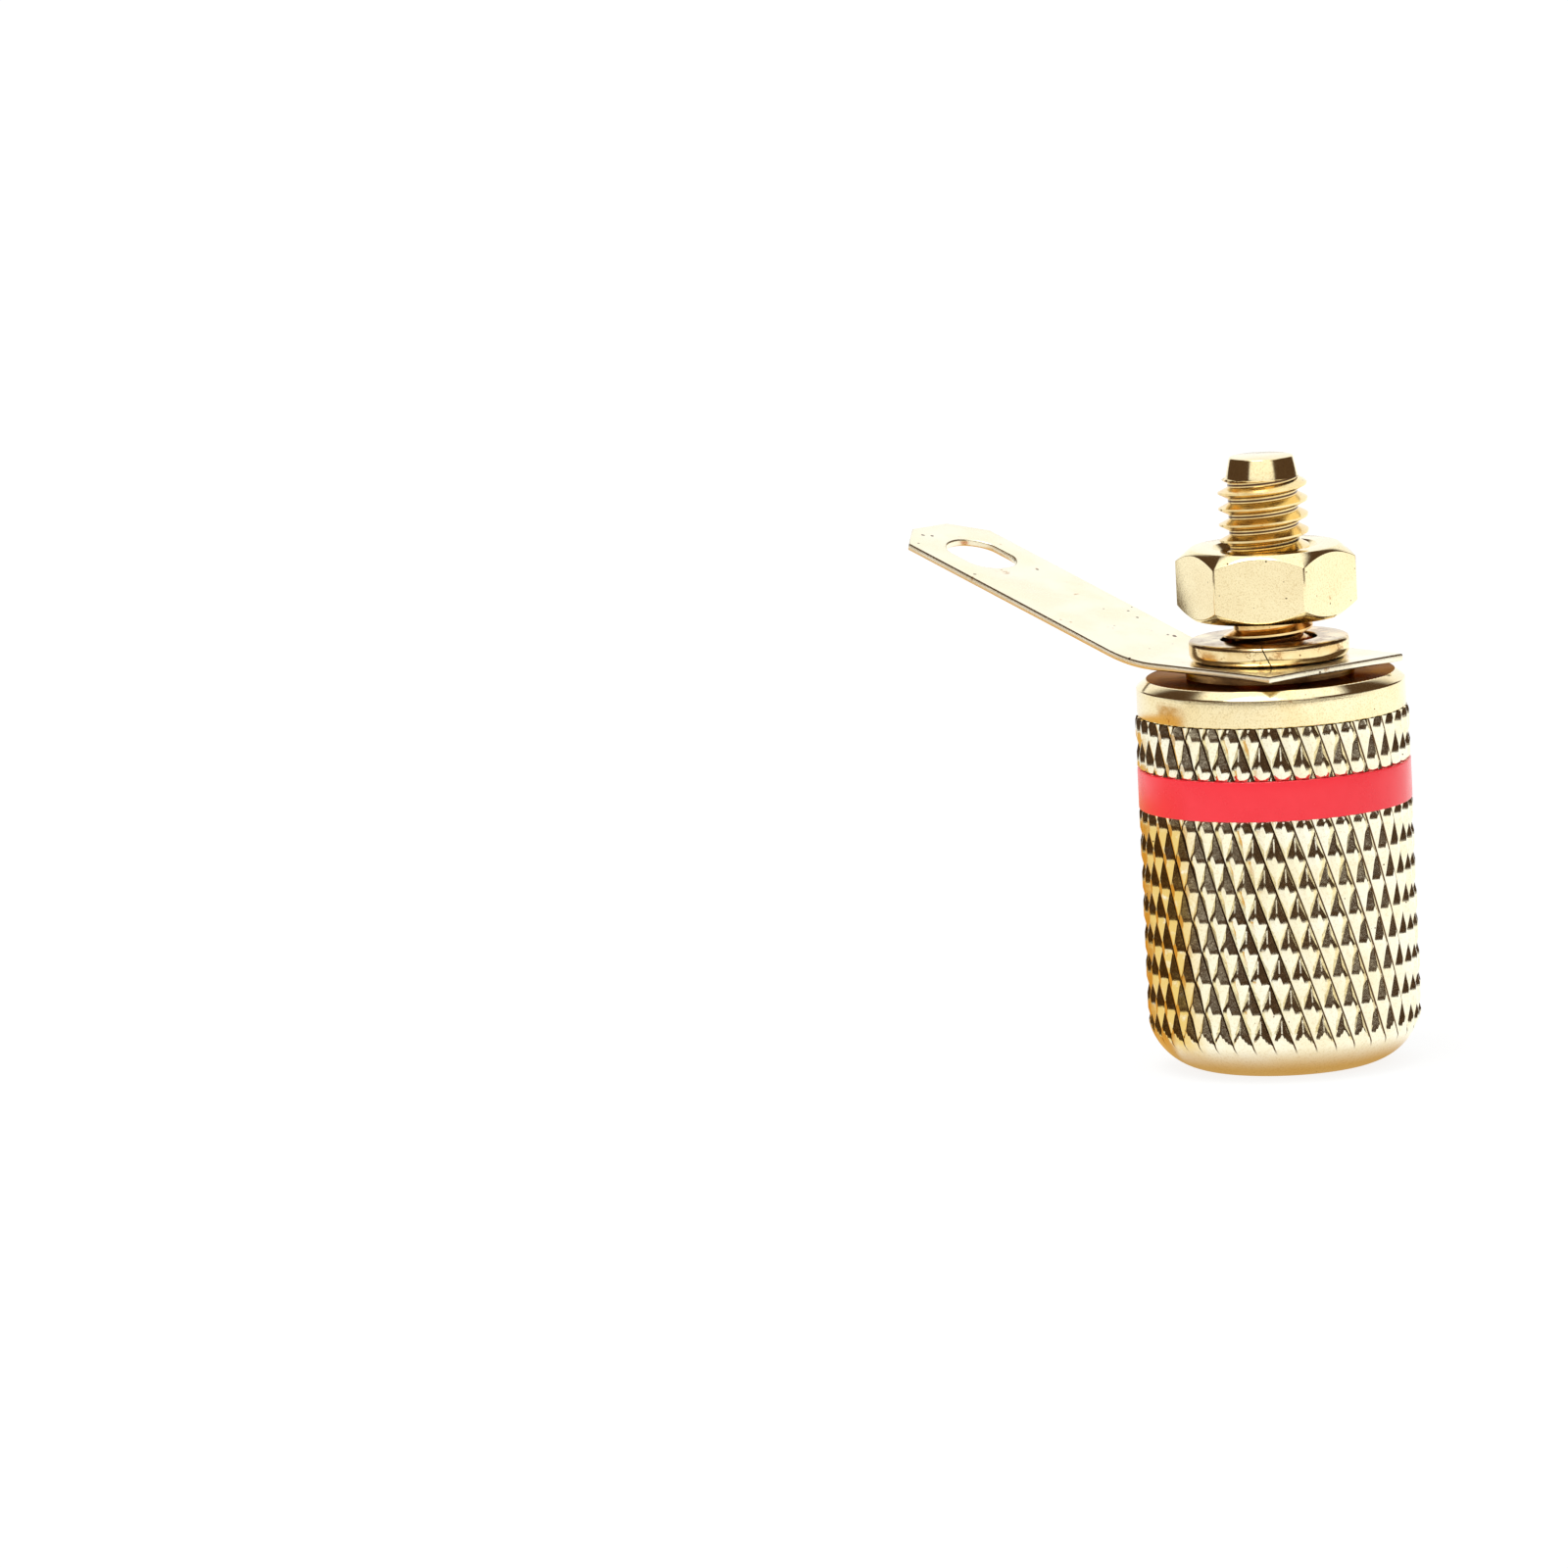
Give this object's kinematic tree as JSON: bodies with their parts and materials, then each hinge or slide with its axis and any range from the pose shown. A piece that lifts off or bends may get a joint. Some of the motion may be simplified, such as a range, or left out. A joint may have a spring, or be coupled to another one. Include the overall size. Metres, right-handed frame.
{
  "type": "binding post",
  "caption": "Gold-plated binding post: knurled thumb cap with a coloured ring, banana socket, threaded stud, hex nut, split washer and bent solder tag.",
  "frame": {"origin": "centre of the thumb cap's nose, on the axis of the post, where a banana plug goes in", "axes": "+Z along the axis from the nose to the stud, +X to the right of the picture, +Y away from its camera; the arm of the solder tag leaves to the back left"},
  "size_m": [0.0218, 0.0209, 0.0269],
  "materials": {
    "gold_plated_brass": "polished",
    "gold_plated_sheet": "satin",
    "red_plastic": "gloss"
  },
  "bodies": {
    "cap": {"thumb_cap": "gold_plated_brass"},
    "band": {"colour_ring": "red_plastic"},
    "terminal": {"terminal_body": "gold_plated_brass", "solder_tag": "gold_plated_sheet", "spring_washer": "gold_plated_brass"},
    "nut": {"hex_nut": "gold_plated_brass"}
  },
  "joints": [
    {"name": "cap_unscrew", "type": "hinge", "parent": "cap", "child": "band", "pos_m": [0, 0, 0], "axis": [0, 0, 1], "range_deg": [0, 5760]},
    {"name": "cap_travel", "type": "slide", "parent": "band", "child": "terminal", "axis": [0, 0, 1], "range_m": [0, 0.012]},
    {"name": "nut_travel", "type": "slide", "parent": "terminal", "child": "nut", "axis": [0, 0, 1], "range_m": [-0.00093, 0.0036]}
  ],
  "couplings": [
    {"joint": "cap_travel", "follows": "cap_unscrew", "m_per_rad": 0.00011937}
  ]
}
